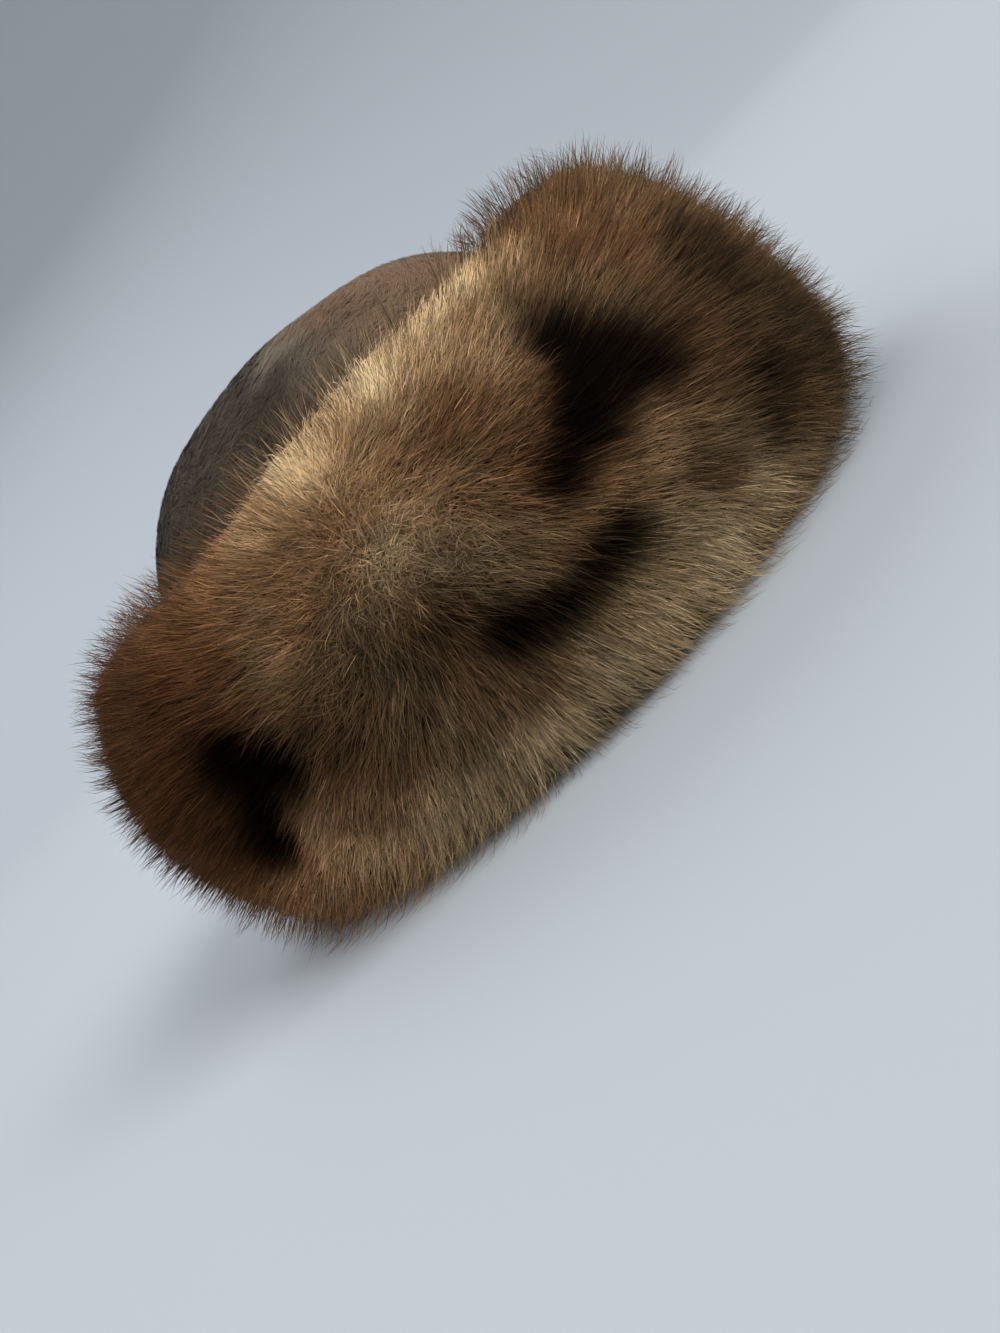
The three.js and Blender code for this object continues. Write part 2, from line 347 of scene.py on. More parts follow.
# Spikes, the few hairs that stand out, are longer than guard hairs by this share
SPIKE_LENGTH = 1.45
# The tone that long hairs tend to, the gain and lift of a hair lightened as a painted glint,
# and the darkest hair's tone
GUARD_TONE = 0.38
GLINT_GAIN = 1.25
GLINT_LIFT = 0.03
DARKEST_TONE = 0.03
# How a fold's painted shade darkens the fur with its depth, and how far past its own sides
FOLD_SHADE = 0.07
FOLD_SHADE_POWER = 1.7
SHADE_SPREAD = 1.3

# The mean radius of the cuff, which turns an angle into a distance
ARC_RADIUS = 132.0

# Shares of the way along the section: where the relief fades in and out, where hairs grow, where
# they stop short at the crest and the rim, where their tips lie lower there, and which of them
# count as the crest's
RELIEF_IN = (0.03, 0.15)
RELIEF_OUT = (0.78, 0.86)
GROWTH_U = (0.07, 0.985)
CREST_U = (0.13, 0.2)
RIM_U = (0.9, 0.83)
CREST_DROP_U = (0.17, 0.31)
RIM_DROP_U = (0.7, 0.82)
CREST_WEIGHT_U = (0.2, 0.32)
CREST_HAIR_U = (0.2, 0.34)
# Hairs are fewer past this place at the rim, and more where they are tangled
THIN_RIM_U = 0.86
THIN_RIM_SHARE = 0.35
TANGLE_SHARE = 1.8
# Tangled hairs lie shorter by this share
TANGLE_SHORTER = 0.1
# The spread of hairs' lengths as shares of the mean, and how rare the highest tips are
HAIR_LENGTHS = (0.75, 1.15)
CLUMP_LENGTHS = (0.85, 0.3)
TIP_POWER = 1.5
# The grid that hairs are scattered by, its height over the section, and its gap to the dome
GROWTH_GRID = (91, 121)
GROWTH_HEIGHT = 5.0
GROWTH_GAP = 2.0

# A hair lies over by this power of its length, and reaches at least this share of it
LIE_OVER = 1.25
SHORTEST_REACH = 0.35
# The turn round the hat, in radians, that its pace round the cuff is measured over
TURN_STEP = 0.01
# Past the rim a hair stands out sideways, and is lit as the side that it stands out from
STAND_OUT = (1.0, 1.0, 0.3)
LOWEST_FACING = -0.2
# The share of a hair's length whose place gives its colour
SEEN_AT = 0.75
# Clear distance from the dome, how far hairs may pass the frame's box, and a clump's edge
CROWN_GAP = 1.2
BOX_MARGIN = (6.0, 9.0)
CLUMP_EDGE = 0.2

# How much a hair is shaded as the surface that it lies on, and half its spread of warmth
SOFTEN = 0.8
MAP_SPREAD = 0.012
MAP_LIMITS = (0.02, 0.98)

# Materials: the strands' map, the felted fibre in metres, and the colours that are mixed
STRAND_MAP = "OFBake"
TONE_POWER = 2.2
FIBRE_SCALE = 900.0
FIBRE_DEPTH = 0.0006
MIXED_COLOURS = ("Dark", "Cool Middle", "Cool Light", "Warm Middle", "Warm Light")
FUR_COLOURS = ("fur_dark", "fur_khaki", "fur_sand", "fur_rust", "fur_gold")
FELT_COLOURS = ("felt_dark", "felt_grey", "felt_silver", "felt_rust", "felt_tan")

# The nap: the turn of its brushing from straight outward, in radians, how long its strands are,
# how deep they are rooted and how high their tips lift, their tones from root to tip, their
# width, and how far their colours stray
NAP_SWIRL = 1.9
NAP_LENGTH = (6.0, 10.0)
NAP_ROOT = 0.4
NAP_LIFT = (0.45, 0.9)
NAP_FADE = (0.86, 0.98, 1.03)
NAP_WIDTH = 0.24
NAP_STRAY = 7

# Soft random fields: the size of a swell in millimetres, and a seed
RIPPLES = {
    "dome": (52.0, 9),
    "cuff": (46.0, 5),
    "fur_way": (30.0, 3),
    "fur_tangle": (11.0, 4),
    "fur_tone": (22.0, 21),
    "fur_fine_tone": (9.0, 22),
    "fur_warmth": (28.0, 23),
    "fur_fine_warmth": (11.0, 24),
    "nap_way": (44.0, 31),
    "nap_fine_way": (14.0, 32),
    "nap_turn": (7.0, 33),
    "nap_tone": (12.0, 41),
    "nap_warmth": (15.0, 42),
    "nap_fine_tone": (5.0, 43),
    "nap_stray_x": (26.0, 44),
    "nap_stray_y": (26.0, 45),
}

# The padded roll under the fur: its depth under the section, the part of the section that it
# follows, the distances out and up where it takes the relief, its inner wall's heights and gap,
# and the distance that it is spun at so that no side meets the axis
ROLL_DEPTH = 6.0
ROLL_U = (0.1, 0.93)
ROLL_OUT = (4.0, 14.0)
ROLL_UP = (112.0, 119.0)
ROLL_INSIDE = (8.0, 108.0)
ROLL_GAP = 0.8
SPUN_AT = 300.0

# The stage in metres: the floor is flat and then sweeps up, and the lights stand all round
FLOOR_FLAT = (1.0, 4.0)
SWEEP_REACH = 10.0
SWEEP_RISE = 9.0
SWEEP_POWER = 2.4
SWEEP_STEPS = 24
CAMERA_PLACE = (0.0721, -0.470, 0.1057)
CAMERA_RIGHT = (0.707107, 0.0, -0.707107)
CAMERA_FORWARD = (-0.189, 0.9636, -0.189)
LIGHT_DISTANCE = 9.0
LIGHT_AIM = (0.0, 0.0, 0.07)
SKY_COLOUR = (0.86, 0.92, 1.0, 1.0)
SKY_POWER = 0.43

# The pieces of fur, each a quarter of the hat, in degrees round it
SECTORS = rows(
    "name start end",
    ("fur_front", -45.0, 45.0),
    ("fur_left", 45.0, 135.0),
    ("fur_back", 135.0, 225.0),
    ("fur_right", 225.0, 315.0),
)


def length_setting(name, description, default, low, high):
    """A length that a user would change."""
    return FloatProperty(
        name=name, description=description, default=default, min=low, max=high, unit="LENGTH"
    )


def power_setting(name, description, default):
    """The power of a light."""
    return FloatProperty(
        name=name, description=description, default=default, min=0.0, unit="POWER"
    )


def count_setting(name, description, default, low, high):
    """A number of strands."""
    return IntProperty(name=name, description=description, default=default, min=low, max=high)


def colour_setting(name, description, default):
    """A colour that a user would change."""
    return FloatVectorProperty(
        name=name, description=description, subtype="COLOR", size=3, min=0.0, max=1.0,
        default=default,
    )


class HatForm(bpy.types.PropertyGroup):
    """The sizes of the crown and the cuff."""

    crown_length: length_setting(
        "Crown length", "Outside length of the crown's oval", 0.196, 0.15, 0.24
    )
    crown_width: length_setting("Crown width", "Outside width of the crown's oval", 0.164, 0.12, 0.21)
    crown_top: length_setting(
        "Crown top", "Height of the crown's top above the rim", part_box("crown")[1][2], 0.1, 0.2
    )
    felt: length_setting("Felt thickness", "Thickness of the crown's felt wall", 0.0025, 0.001, 0.003)


class HatFur(bpy.types.PropertyGroup):
    """The make of the fur and of the felt's nap."""

    wool_strands: count_setting(
        "Underfur strands", "Soft short strands on each quarter of the cuff", 68000, 1000, 90000
    )
    guard_strands: count_setting(
        "Guard hairs", "Long glossy hairs on each quarter of the cuff", 22000, 500, 30000
    )
    nap_strands: count_setting(
        "Nap strands", "Brushed strands on the crown's felt", 60000, 1000, 66000
    )
    wool_length: length_setting("Underfur length", "Length of the underfur", 0.011, 0.005, 0.04)
    guard_length: length_setting("Guard hair length", "Length of the guard hairs", 0.016, 0.005, 0.05)
    strand_width: length_setting(
        "Strand width", "Width of a soft strand at its middle", 0.00028, 0.0001, 0.001
    )
    seed: IntProperty(
        name="Seed",
        description="Chooses how the strands are scattered",
        default=11,
        min=0,
    )


class HatColours(bpy.types.PropertyGroup):
    """The colours that the fur and the felt are mixed from."""

    fur_dark: colour_setting("Fur, dark", "Darkest brown of the fur", (0.0015, 0.0007, 0.0004))
    fur_khaki: colour_setting("Fur, khaki", "Middle of the cool browns", (0.2, 0.16, 0.088))
    fur_sand: colour_setting("Fur, sand", "Lightest of the cool browns", (0.85, 0.68, 0.4))
    fur_rust: colour_setting("Fur, rust", "Middle of the warm browns", (0.21, 0.085, 0.032))
    fur_gold: colour_setting("Fur, gold", "Lightest of the warm browns", (0.95, 0.44, 0.18))
    felt_dark: colour_setting("Felt, dark", "Darkest taupe of the crown", (0.006, 0.005, 0.004))
    felt_grey: colour_setting("Felt, grey", "Middle grey of the crown", (0.17, 0.156, 0.122))
    felt_silver: colour_setting("Felt, silver", "Lightest grey of the crown", (0.78, 0.72, 0.58))
    felt_rust: colour_setting("Felt, rust", "Middle rust of the crown", (0.196, 0.12, 0.074))
    felt_tan: colour_setting("Felt, tan", "Lightest rust of the crown", (0.9, 0.55, 0.34))


class HatStage(bpy.types.PropertyGroup):
    """The floor, the lights and the camera."""

    floor_colour: colour_setting("Floor", "Colour of the floor", (0.42, 0.455, 0.49))
    lens: FloatProperty(
        name="Lens",
        description="Focal length of the camera",
        default=0.0351,
        min=0.01,
        max=0.2,
        unit="CAMERA",
    )
    key_power: power_setting("Key light", "Power of the main light", 683.0)
    fill_power: power_setting("Fill light", "Power of the fill light", 308.0)


def even_curve(points, count=400):
    """Evenly spaced points on a smooth curve through the given ones."""
    points = np.array(points, float)
    run = np.r_[0, np.cumsum(np.linalg.norm(np.diff(points, axis=0), axis=1))]
    slope = np.gradient(points, run, axis=0)
    at = np.linspace(0, run[-1], count * 4)
    i = np.clip(np.searchsorted(run, at, side="right") - 1, 0, len(run) - 2)
    gap = (run[i + 1] - run[i])[:, None]
    s = (at - run[i])[:, None] / gap
    curve = (2 * s**3 - 3 * s**2 + 1) * points[i]
    curve += (s**3 - 2 * s**2 + s) * slope[i] * gap
    curve += (-2 * s**3 + 3 * s**2) * points[i + 1]
    curve += (s**3 - s**2) * slope[i + 1] * gap
    run = np.r_[0, np.cumsum(np.linalg.norm(np.diff(curve, axis=0), axis=1))]
    even = np.linspace(0, run[-1], count)
    return np.stack([np.interp(even, run, curve[:, k]) for k in range(2)], -1), run[-1]


def blend(value, low, high):
    """A smooth step from 0 at low to 1 at high."""
    s = np.clip((value - low) / (high - low), 0, 1)
    return s * s * (3 - 2 * s)


def unit(vectors):
    """The vectors at length 1."""
    return vectors / np.maximum(np.linalg.norm(vectors, axis=-1, keepdims=True), 1e-9)


def rotated(x, y, angle):
    """The parts of a direction turned by an angle."""
    return x * np.cos(angle) - y * np.sin(angle), x * np.sin(angle) + y * np.cos(angle)


def arc(start, end):
    """Distance round the cuff between two angles in degrees, the short way."""
    return np.radians((end - start + 540.0) % 360.0 - 180.0) * ARC_RADIUS


def ripple(points, name):
    """A soft random field in space, between about -1 and 1, with swells of one size."""
    size, seed = RIPPLES[name]
    rng = np.random.default_rng(seed)
    total = np.zeros(points.shape[:-1])
    for _ in range(8):
        way = rng.normal(0, 1, 3)
        way *= 2 * math.pi / (size * rng.uniform(0.7, 1.5) * np.linalg.norm(way))
        total += np.sin(points @ way + rng.uniform(0, 2 * math.pi))
    return total / 3.2


def ring_point(angle, z):
    """A place on a plain ring of the cuff's mean size, for the random fields to read."""
    return np.stack([ARC_RADIUS * np.cos(angle), ARC_RADIUS * np.sin(angle), z], -1)


def cell_noise(i, j, salt):
    """A fixed random number from 0 to 1 for each cell of a grid."""
    n = (i.astype(np.int64) * 73856093) ^ (j.astype(np.int64) * 19349663) ^ (salt * 83492791)
    n = (n ^ (n >> 13)) * 1274126177
    return ((n ^ (n >> 16)) & 0xFFFF) / 65535.0


class CrownShape:
    """The crown's oval and dome, in millimetres."""

    def __init__(self, form):
        self.length = form.crown_length * MM / 2
        self.width = form.crown_width * MM / 2
        self.top = form.crown_top * MM
        self.felt = form.felt * MM

    def closing(self, z, grow=0.0):
        """The share of the oval's size that is left at a height."""
        s = np.clip((z - DOME_START) / (self.top + grow - DOME_START), 0, 1)
        return (1 - s**DOME_POWER) ** (1 / DOME_POWER)

    def push_out(self, points, grow):
        """Move points that lie inside the dome, grown by a margin, to its surface."""
        rise = self.top + grow - DOME_START
        x = (points[..., 0] - CROWN_CENTRE_X) / (self.length + grow)
        y = points[..., 1] / (self.width + grow)
        z = (points[..., 2] - DOME_START) / rise
        level = np.hypot(x, y) ** DOME_POWER + np.abs(z) ** DOME_POWER
        level = level ** (1 / DOME_POWER)
        scale = np.where((z > 0) & (level < 1), 1 / np.maximum(level, 0.2), 1.0)[..., None]
        centre = np.array([CROWN_CENTRE_X, 0, DOME_START])
        return centre + (points - centre) * scale

    def lumps(self, points):
        """How far the dome is lumped up at points."""
        lump = ripple(points * np.array([1, 1, 0]), "dome")
        return DOME_LUMPS * lump * blend(points[..., 2], LUMPS_FROM, LUMPS_TO)

    def dome(self, angle, r, height):
        """Points over the dome by their angle and share of the oval's size, and the way out."""
        s = (1 - np.clip(r, 0, 0.999) ** DOME_POWER) ** (1 / DOME_POWER)
        x = self.length * r * np.cos(angle)
        y = self.width * r * np.sin(angle)
        z = DOME_START + (self.top - DOME_START) * s
        steep = r ** (DOME_POWER - 1) / np.maximum(s, 0.05) ** (DOME_POWER - 1)
        nx = steep * np.cos(angle) / self.length
        ny = steep * np.sin(angle) / self.width
        nz = np.ones_like(r) / (self.top - DOME_START)
        normal = unit(np.stack([nx, ny, nz], -1))
        point = np.stack([x + CROWN_CENTRE_X, y, z], -1)
        point[..., 2] += self.lumps(point)
        return point + normal * height[..., None], normal


class CuffShape:
    """The cuff's outer surface, in millimetres, by the angle round it and the way along it."""

    def __init__(self, form):
        self.crown = CrownShape(form)
        self.back, self.run = even_curve([(r["back"], r["z"]) for r in SECTION])
        self.front, _ = even_curve([(r["front"], r["z"]) for r in SECTION])
        self.back_way = unit(np.gradient(self.back, axis=0))
        self.front_way = unit(np.gradient(self.front, axis=0))

    def along(self, u, front, table_back, table_front):
        """Look a pair of tables up at u and mix them by the share of the front."""
        at = np.linspace(0, 1, len(table_back))
        columns = []
        for k in range(2):
            a = np.interp(u, at, table_back[:, k])
            b = np.interp(u, at, table_front[:, k])
            columns.append(a + (b - a) * front)
        return columns

    def place(self, angle, t, z):
        """A point from its angle, its distance out from the crown's wall and its height."""
        c, s = np.cos(angle), np.sin(angle)
        nx, ny = c / self.crown.length, s / self.crown.width
        n = np.hypot(nx, ny)
        share = np.where(t < 0, 1 + t / self.crown.length, 1.0)
        out = np.maximum(t, 0)
        crest = 1 + (CREST_RISE_FRONT * c - CREST_DIP_SIDE * s * s) / CUFF_CREST
        high = z * (1 + (crest - 1) * np.clip(z / CUFF_CREST, 0, 1))
        x = self.crown.length * c * share + nx / n * out + CROWN_CENTRE_X
        return np.stack([x, self.crown.width * s * share + ny / n * out, high], -1)

    def smooth(self, angle, u):
        """The smooth surface and its outward direction."""
        front = (1 + np.cos(angle)) / 2
        t, z = self.along(u, front, self.back, self.front)
        dt, dz = self.along(u, front, self.back_way, self.front_way)
        nx, ny = np.cos(angle) / self.crown.length, np.sin(angle) / self.crown.width
        n = np.hypot(nx, ny)
        normal = unit(np.stack([-dz * nx / n, -dz * ny / n, dt], -1))
        return self.place(angle, t, z), normal

    def relief(self, angle, z):
        """How far folds press in and swells stand out at a place, and the painted shade of a fold
        there.
        """
        degrees = np.degrees(angle)
        press = np.zeros_like(z)
        shade = np.zeros_like(z)
        for fold in FOLDS:
            ex = arc(fold["from"], fold["to"])
            ez = fold["to_z"] - fold["from_z"]
            px = arc(fold["from"], degrees)
            pz = z - fold["from_z"]
            k = np.clip((px * ex + pz * ez) / (ex * ex + ez * ez), 0, 1)
            away = np.hypot(px - k * ex, pz - k * ez) / fold["half_width"]
            press = np.maximum(press, fold["depth"] * np.exp(-away * away))
            away = away / SHADE_SPREAD
            shade = np.maximum(shade, fold["depth"] * np.exp(-away * away))
        swell = np.zeros_like(z)
        for row in SWELLS:
            away = np.hypot(arc(row["at"], degrees), z - row["z"]) / row["half_width"]
            swell += row["height"] * np.exp(-away * away)
        swell += ripple(ring_point(angle, z), "cuff") * CUFF_LUMPS
        return swell - press, shade

    def surface(self, angle, u, height):
        """The finished surface raised by a height, its outward direction and the folds' shade."""
        point, normal = self.smooth(angle, u)
        fade = blend(u, *RELIEF_IN) * (1 - blend(u, *RELIEF_OUT))
        relief, shade = self.relief(angle, point[..., 2])
        return point + normal * (relief * fade + height)[..., None], normal, shade * fade


def table_mix(table, distance, reach):
    """The tone and warmth of a table at a place, mixed from its rows by how near each is."""
    total = 0.0
    sums = [0.0, 0.0]
    for row in table:
        weight = 1 / (0.12 + (distance(row) / reach) ** 2) ** 2
        total = total + weight
        for k, name in enumerate(("tone", "warmth")):
            sums[k] = sums[k] + weight * row[name]
    return [s / total for s in sums]


def fur_heading(angle, z):
    """The way the fur lies at a place, as its parts round the hat and up, and how messy it is."""
    degrees = np.degrees(angle) % 360.0
    mirrored = degrees < 180.0
    at = np.where(mirrored, 360.0 - degrees, degrees)
    x = np.zeros_like(z)
    y = np.zeros_like(z)
    total = np.zeros_like(z)
    for row in FLOW:
        away = np.hypot(arc(row["at"], at), z - row["z"]) / FLOW_REACH
        weight = 1 / (0.15 + away * away) ** 2
        x += weight * math.cos(math.radians(row["heading"]))
        y += weight * math.sin(math.radians(row["heading"]))
        total += weight
    size = np.maximum(np.hypot(x, y), 1e-9)
    messy = 1 - blend(size / total, 0.45, 0.95)
    for row in TANGLES:
        away = np.hypot(arc(row["at"], degrees), z - row["z"]) / row["half_width"]
        messy = np.maximum(messy, 0.95 * np.exp(-(away**3)))
    x = np.where(mirrored, -x, x) / size
    y = y / size
    meeting = 1 - blend(np.abs(np.sin(angle)), 0.0, 0.2)
    x = x * (1 - meeting)
    y = y + meeting * np.clip((z - MEETING_HEIGHT) / MEETING_SPREAD, -0.8, 0.8)
    there = ring_point(angle, z)
    way = np.arctan2(y, x)
    way = way + 0.12 * ripple(there, "fur_way") + 0.9 * messy * ripple(there, "fur_tangle")
    return np.cos(way), np.sin(way), messy


def fur_colour(angle, z):
    """Tone and warmth of the coat at a place, with the painted light that its chart holds low on the
    rim.
    """
    degrees = np.degrees(angle)

    def distance(row):
        return np.hypot(arc(row["at"], degrees), z - row["z"])

    tone, warmth = table_mix(COAT, distance, COAT_REACH)
    there = ring_point(angle, z)
    mottle = 1 + 0.07 * ripple(there, "fur_tone") + 0.06 * ripple(there, "fur_fine_tone")
    warmth = warmth + 0.08 * ripple(there, "fur_warmth")
    return tone * mottle, warmth + 0.06 * ripple(there, "fur_fine_warmth")


def ribbons(name, points, normals, widths, roll, tone, warmth):
    """One mesh of flat strands, each pointed at both ends, with tone and warmth as its map.

    points is strands x stations x 3 in millimetres, and widths, tone and warmth are strands x
    stations. A strand has one point at its root and its tip and two at each station between.
    """
    count, stations = points.shape[:2]
    way = unit(np.gradient(points, axis=1))
    side = unit(np.cross(way, normals))
    other = np.cross(way, side)
    side = side * np.cos(roll)[:, None, None] + other * np.sin(roll)[:, None, None]
    facing = unit(np.cross(side, way))
    half = side * (widths / 2)[..., None]
    shade = unit(facing * (1 - SOFTEN) + normals * SOFTEN)
    left = [points[:, k] - half[:, k] for k in range(stations)]
    right = [points[:, k] + half[:, k] for k in range(stations)]
    last = stations - 1
    place, turned, map_u, map_v = [left[0]], [shade[:, 0]], [tone[:, 0]], [warmth[:, 0]]
    for k in range(1, last):
        place += [left[k], right[k]]
        turned += [shade[:, k], shade[:, k]]
        map_u += [tone[:, k], tone[:, k]]
        map_v += [warmth[:, k] - MAP_SPREAD, warmth[:, k] + MAP_SPREAD]
    place.append(left[last])
    turned.append(shade[:, last])
    map_u.append(tone[:, last])
    map_v.append(warmth[:, last])
    faces = [(0, 2, 1)]
    faces += [(2 * k - 1, 2 * k, 2 * k + 2, 2 * k + 1) for k in range(1, last - 1)]
    faces.append((2 * last - 3, 2 * last - 2, 2 * last - 1))
    per_strand = 2 * last
    corners = np.array([c for face in faces for c in face])
    sizes = [len(face) for face in faces]
    first = np.arange(count, dtype=np.int64)[:, None] * per_strand
    loops = (first + corners).astype(np.int32).ravel()
    starts = np.cumsum([0] + sizes[:-1])
    loop_start = np.arange(count)[:, None] * len(corners) + starts
    loop_start = loop_start.astype(np.int32).ravel()
    mesh = bpy.data.meshes.new(name)
    mesh.vertices.add(count * per_strand)
    mesh.vertices.foreach_set("co", (np.stack(place, 1) / MM).astype(np.float32).ravel())
    mesh.loops.add(len(loops))
    mesh.loops.foreach_set("vertex_index", loops)
    mesh.polygons.add(len(loop_start))
    mesh.polygons.foreach_set("loop_start", loop_start)
    mesh.polygons.foreach_set("use_smooth", np.ones(len(loop_start), bool))
    mesh.update(calc_edges=True)
    layer = mesh.uv_layers.new(name=STRAND_MAP)
    flat_u = np.clip(np.stack(map_u, 1), *MAP_LIMITS).ravel()[loops]
    flat_v = np.clip(np.stack(map_v, 1), *MAP_LIMITS).ravel()[loops]
    layer.data.foreach_set("uv", np.stack([flat_u, flat_v], -1).astype(np.float32).ravel())
    mesh.validate()
    turned = np.stack(turned, 1).reshape(-1, 3)
    mesh.normals_split_custom_set_from_vertices(turned.astype(np.float32))
    piece = bpy.data.objects.new(name, mesh)
    bpy.context.scene.collection.objects.link(piece)
    return piece


def scatter(rng, shape, start, end, count, weight):
    """Random places on a quarter of the cuff, as many on each part as its area and weight ask."""
    angles = np.linspace(math.radians(start), math.radians(end), GROWTH_GRID[0])
    us = np.linspace(*GROWTH_U, GROWTH_GRID[1])
    grid_a, grid_u = np.meshgrid(angles, us, indexing="ij")
    point, _, _ = shape.surface(grid_a, grid_u, np.full(grid_a.shape, GROWTH_HEIGHT))
    one = point[1:, :-1] - point[:-1, :-1]
    two = point[:-1, 1:] - point[:-1, :-1]
    area = np.linalg.norm(np.cross(one, two), axis=-1)
    area = area * weight(grid_a[:-1, :-1], grid_u[:-1, :-1], point[:-1, :-1, 2])
    crown = shape.crown
    share = crown.closing(point[..., 2], GROWTH_GAP)
    x = (point[..., 0] - CROWN_CENTRE_X) / (crown.length + GROWTH_GAP)
    y = point[..., 1] / (crown.width + GROWTH_GAP)
    area[(np.hypot(x, y) < share)[:-1, :-1] & (grid_u[:-1, :-1] < 0.5)] = 0
    pick = np.searchsorted(np.cumsum(area.ravel()), rng.random(count) * area.sum())
    i, j = np.unravel_index(np.minimum(pick, area.size - 1), area.shape)
    angle = angles[i] + rng.random(count) * (angles[1] - angles[0])
    u = us[j] + rng.random(count) * (us[1] - us[0])
    return angle, u


def lay(shape, angle, u, heading, length, root, tip, kind, bow, stop, lean):
    """Follow strands that rise from their roots and lie over along the cuff.

    Past the crest and past the rim a strand stands out instead of turning in, from where stop,
    between 0 and 1, says. The result is the points, the directions, the folds' shade at each
    point and the place of the part of each strand that is seen.
    """
    before, _ = shape.smooth(angle - TURN_STEP, u)
    after, _ = shape.smooth(angle + TURN_STEP, u)
    pace = np.linalg.norm(after - before, axis=-1) / (2 * TURN_STEP)
    shortest = (SHORTEST_REACH * length) ** 2
    reach = lean * np.sqrt(np.maximum(length**2 - (tip - root) ** 2, shortest))
    first = np.minimum(u, CREST_U[0] + (CREST_U[1] - CREST_U[0]) * stop)
    last = np.maximum(u, RIM_U[0] + (RIM_U[1] - RIM_U[0]) * stop)
    points, normals, shades, seen = [], [], [], None
    for s in (*kind["stations"], SEEN_AT):
        gone = reach * s**LIE_OVER
        hx, hy = rotated(*heading, bow * s * s)
        wanted = u - gone * hy / shape.run
        there = np.clip(wanted, first, last)
        spare = np.clip((wanted - there) * shape.run, 0.0, kind["rim_reach"])
        top = tip - kind["crest_drop"] * (1 - blend(there, *CREST_DROP_U))
        top = top - kind["rim_drop"] * blend(there, *RIM_DROP_U)
        height = root + (top - root) * (1 - (1 - s) ** kind["bend"])
        around = angle + gone * hx / pace
        point, normal, shade = shape.surface(around, there, height)
        point = point + unit(normal * np.array(STAND_OUT)) * spare[..., None]
        points.append(point)
        normals.append(unit(np.maximum(normal, [-1.0, -1.0, LOWEST_FACING])))
        shades.append(shade)
        seen = (around, there)
    return np.stack(points[:-1], 1), np.stack(normals[:-1], 1), np.stack(shades[:-1], 1), seen


def gathered(shape, angle, u, cell, salt):
    """The clump that each strand belongs to: the place of its middle, and its column and row."""
    side = angle * ARC_RADIUS
    down = u * shape.run
    row = np.floor(down / cell)
    column = np.floor(side / cell + 0.5 * (row % 2))
    inner = 1 - 2 * CLUMP_EDGE
    mid_x = column + CLUMP_EDGE + inner * cell_noise(column, row, salt) - 0.5 * (row % 2)
    mid_y = row + CLUMP_EDGE + inner * cell_noise(column, row, salt + 1)
    return mid_x * cell / ARC_RADIUS, mid_y * cell / shape.run, column, row


def kept_in_box(rng, points):
    """Points drawn in to a few millimetres outside the frame's own box."""
    margin = rng.uniform(*BOX_MARGIN, (len(points), 1, 1))
    low = np.array(cad_box[0]) * MM - margin
    high = np.array(cad_box[1]) * MM + margin
    return np.clip(points, low, high)


